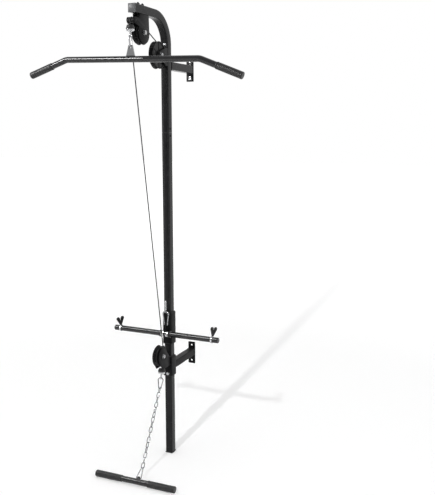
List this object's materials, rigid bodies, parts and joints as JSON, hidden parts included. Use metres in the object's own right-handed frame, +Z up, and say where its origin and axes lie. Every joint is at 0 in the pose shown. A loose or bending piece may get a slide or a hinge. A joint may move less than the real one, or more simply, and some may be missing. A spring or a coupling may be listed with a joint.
{
  "type": "wall-mounted cable pulley tower",
  "caption": "Wall-mounted cable tower: a sliding weight carriage lifted over grooved pulleys by a bent pull-down bar above or a short rowing bar on a chain below.",
  "frame": {"origin": "centre of the foot cap's underside, on the floor", "axes": "+Z up along the upright, +Y towards the wall, user on the -Y side, weight bar along X"},
  "size_m": [1.0719, 0.6571, 2.2118],
  "materials": {
    "black_paint": "black powder coat, semi-gloss",
    "black_plastic": "black moulded plastic",
    "rubber": "black rubber",
    "chrome": "polished chrome plate",
    "zinc": "bright zinc plate",
    "grey_plastic": "grey moulded plastic",
    "light_steel": "bright steel",
    "cable": "black plastic coat on steel rope"
  },
  "bodies": {
    "frame": {"upper_tube": "black_paint", "lower_tube": "black_paint", "joint_insert": "zinc", "arm_end_cap": "grey_plastic", "foot_cap": "black_plastic", "upper_wall_bracket": "black_paint", "lower_wall_bracket": "black_paint", "sleeve_liner": "black_plastic", "clamp_bolt": "zinc", "top_pulley_bracket": "black_paint", "arm_bolt_front": "black_paint", "arm_bolt_rear": "black_paint", "front_roller_pin": "zinc", "guide_pulley_bracket": "black_paint", "low_pulley_bracket": "black_paint", "top_pulley_axle": "zinc", "guide_pulley_axle": "zinc", "low_pulley_axle": "zinc", "main_cable": "cable", "low_cable": "cable"},
    "front_roller": {"front_roller": "black_plastic"},
    "top_pulley": {"top_pulley": "black_plastic"},
    "guide_pulley": {"guide_pulley": "black_plastic"},
    "low_pulley": {"low_pulley": "black_plastic"},
    "lat_pull": {"lat_stopper": "rubber", "lat_cup": "chrome", "lat_hook": "light_steel", "main_cable_front": "cable", "low_cable_upper": "cable"},
    "lat_gate": {"lat_hook_gate": "light_steel"},
    "lat_bar": {"lat_bar": "black_paint", "lat_plate": "light_steel", "low_cable_end": "black_plastic", "lat_grip_left": "rubber", "lat_grip_right": "rubber"},
    "carriage": {"carriage_sleeve": "black_paint", "carriage_glide_top": "black_plastic", "carriage_glide_bottom": "black_plastic", "carriage_lug": "black_paint", "weight_bar": "black_paint", "spacer_left": "chrome", "spacer_right": "chrome", "carriage_hook": "light_steel", "main_cable_end": "zinc", "main_cable_rear": "cable"},
    "carriage_gate": {"carriage_hook_gate": "light_steel"},
    "collar_left": {"collar_left": "chrome"},
    "collar_right": {"collar_right": "chrome"},
    "wing_screw_left": {"wing_screw_left": "black_plastic"},
    "wing_screw_right": {"wing_screw_right": "black_plastic"},
    "row_pull": {"low_cable_row": "cable"},
    "row_swing": {"row_stopper": "rubber", "row_cup": "chrome", "row_hook": "light_steel"},
    "row_gate": {"row_hook_gate": "light_steel"},
    "row_chain": {"row_chain": "light_steel", "row_ring": "light_steel", "row_bar": "black_paint", "row_grip_left": "rubber", "row_grip_right": "rubber"}
  },
  "joints": [
    {"name": "lat_pull", "type": "slide", "parent": "frame", "child": "lat_pull", "axis": [0, 0, -1], "range_m": [0, 1.1], "deforming": ["main_cable_front", "low_cable_upper"]},
    {"name": "carriage_lift", "type": "slide", "parent": "frame", "child": "carriage", "axis": [0, 0, 1], "range_m": [0, 1.1], "deforming": ["main_cable_rear"]},
    {"name": "front_roller_spin", "type": "hinge", "parent": "frame", "child": "front_roller", "pos_m": [0, -0.312, 2.128], "axis": [1, 0, 0], "range_deg": [0, 4850]},
    {"name": "top_pulley_spin", "type": "hinge", "parent": "frame", "child": "top_pulley", "pos_m": [0, -0.238, 2.084], "axis": [1, 0, 0], "range_deg": [0, 1560]},
    {"name": "guide_pulley_spin", "type": "hinge", "parent": "frame", "child": "guide_pulley", "pos_m": [0, -0.087, 2.002], "axis": [1, 0, 0], "range_deg": [0, 1250]},
    {"name": "low_pulley_spin", "type": "hinge", "parent": "frame", "child": "low_pulley", "pos_m": [0, -0.106, 0.552], "axis": [1, 0, 0], "range_deg": [-1485, 0]},
    {"name": "lat_gate", "type": "hinge", "parent": "lat_pull", "child": "lat_gate", "pos_m": [0, -0.31652, 2.03042], "axis": [1, 0, 0], "range_deg": [0, 18], "stiffness_Nm_per_rad": 0.05, "springref_deg": -11.46},
    {"name": "lat_bar_tilt", "type": "hinge", "parent": "lat_pull", "child": "lat_bar", "pos_m": [0, -0.325, 2.0147], "axis": [0, 1, 0], "range_deg": [-7, 6]},
    {"name": "carriage_gate", "type": "hinge", "parent": "carriage", "child": "carriage_gate", "pos_m": [0.01016, -0.0365, 0.71003], "axis": [0, -1, 0], "range_deg": [0, 18], "stiffness_Nm_per_rad": 0.05, "springref_deg": -11.46},
    {"name": "collar_left_slide", "type": "slide", "parent": "carriage", "child": "collar_left", "axis": [1, 0, 0], "range_m": [-0.03, 0.21]},
    {"name": "collar_right_slide", "type": "slide", "parent": "carriage", "child": "collar_right", "axis": [1, 0, 0], "range_m": [-0.21, 0.03]},
    {"name": "wing_screw_left_turn", "type": "hinge", "parent": "collar_left", "child": "wing_screw_left", "pos_m": [-0.257, -0.04595, 0.66624], "axis": [0, -0.1736, 0.9848], "continuous": true},
    {"name": "wing_screw_right_turn", "type": "hinge", "parent": "collar_right", "child": "wing_screw_right", "pos_m": [0.257, -0.03581, 0.66491], "axis": [0, 0.4226, 0.9063], "continuous": true},
    {"name": "row_pull", "type": "slide", "parent": "frame", "child": "row_pull", "axis": [0, -1, 0], "range_m": [0, 1.1]},
    {"name": "row_swing", "type": "hinge", "parent": "row_pull", "child": "row_swing", "pos_m": [0, -0.08131, 0.48396], "axis": [-1, 0, 0], "range_deg": [0, 20]},
    {"name": "row_gate", "type": "hinge", "parent": "row_swing", "child": "row_gate", "pos_m": [0.00843, -0.10592, 0.39811], "axis": [0, -0.9613, 0.2756], "range_deg": [0, 18], "stiffness_Nm_per_rad": 0.05, "springref_deg": -11.46},
    {"name": "chain_swing", "type": "hinge", "parent": "row_swing", "child": "row_chain", "pos_m": [0, -0.11039, 0.38255], "axis": [-1, 0, 0], "range_deg": [0, 60]}
  ],
  "couplings": [
    {"joint": "carriage_lift", "follows": "lat_pull", "ratio": 1},
    {"joint": "row_pull", "follows": "lat_pull", "ratio": 1},
    {"joint": "front_roller_spin", "follows": "lat_pull", "rad_per_m": 76.923},
    {"joint": "top_pulley_spin", "follows": "lat_pull", "rad_per_m": 24.691},
    {"joint": "guide_pulley_spin", "follows": "lat_pull", "rad_per_m": 19.802},
    {"joint": "low_pulley_spin", "follows": "lat_pull", "rad_per_m": -23.529}
  ]
}
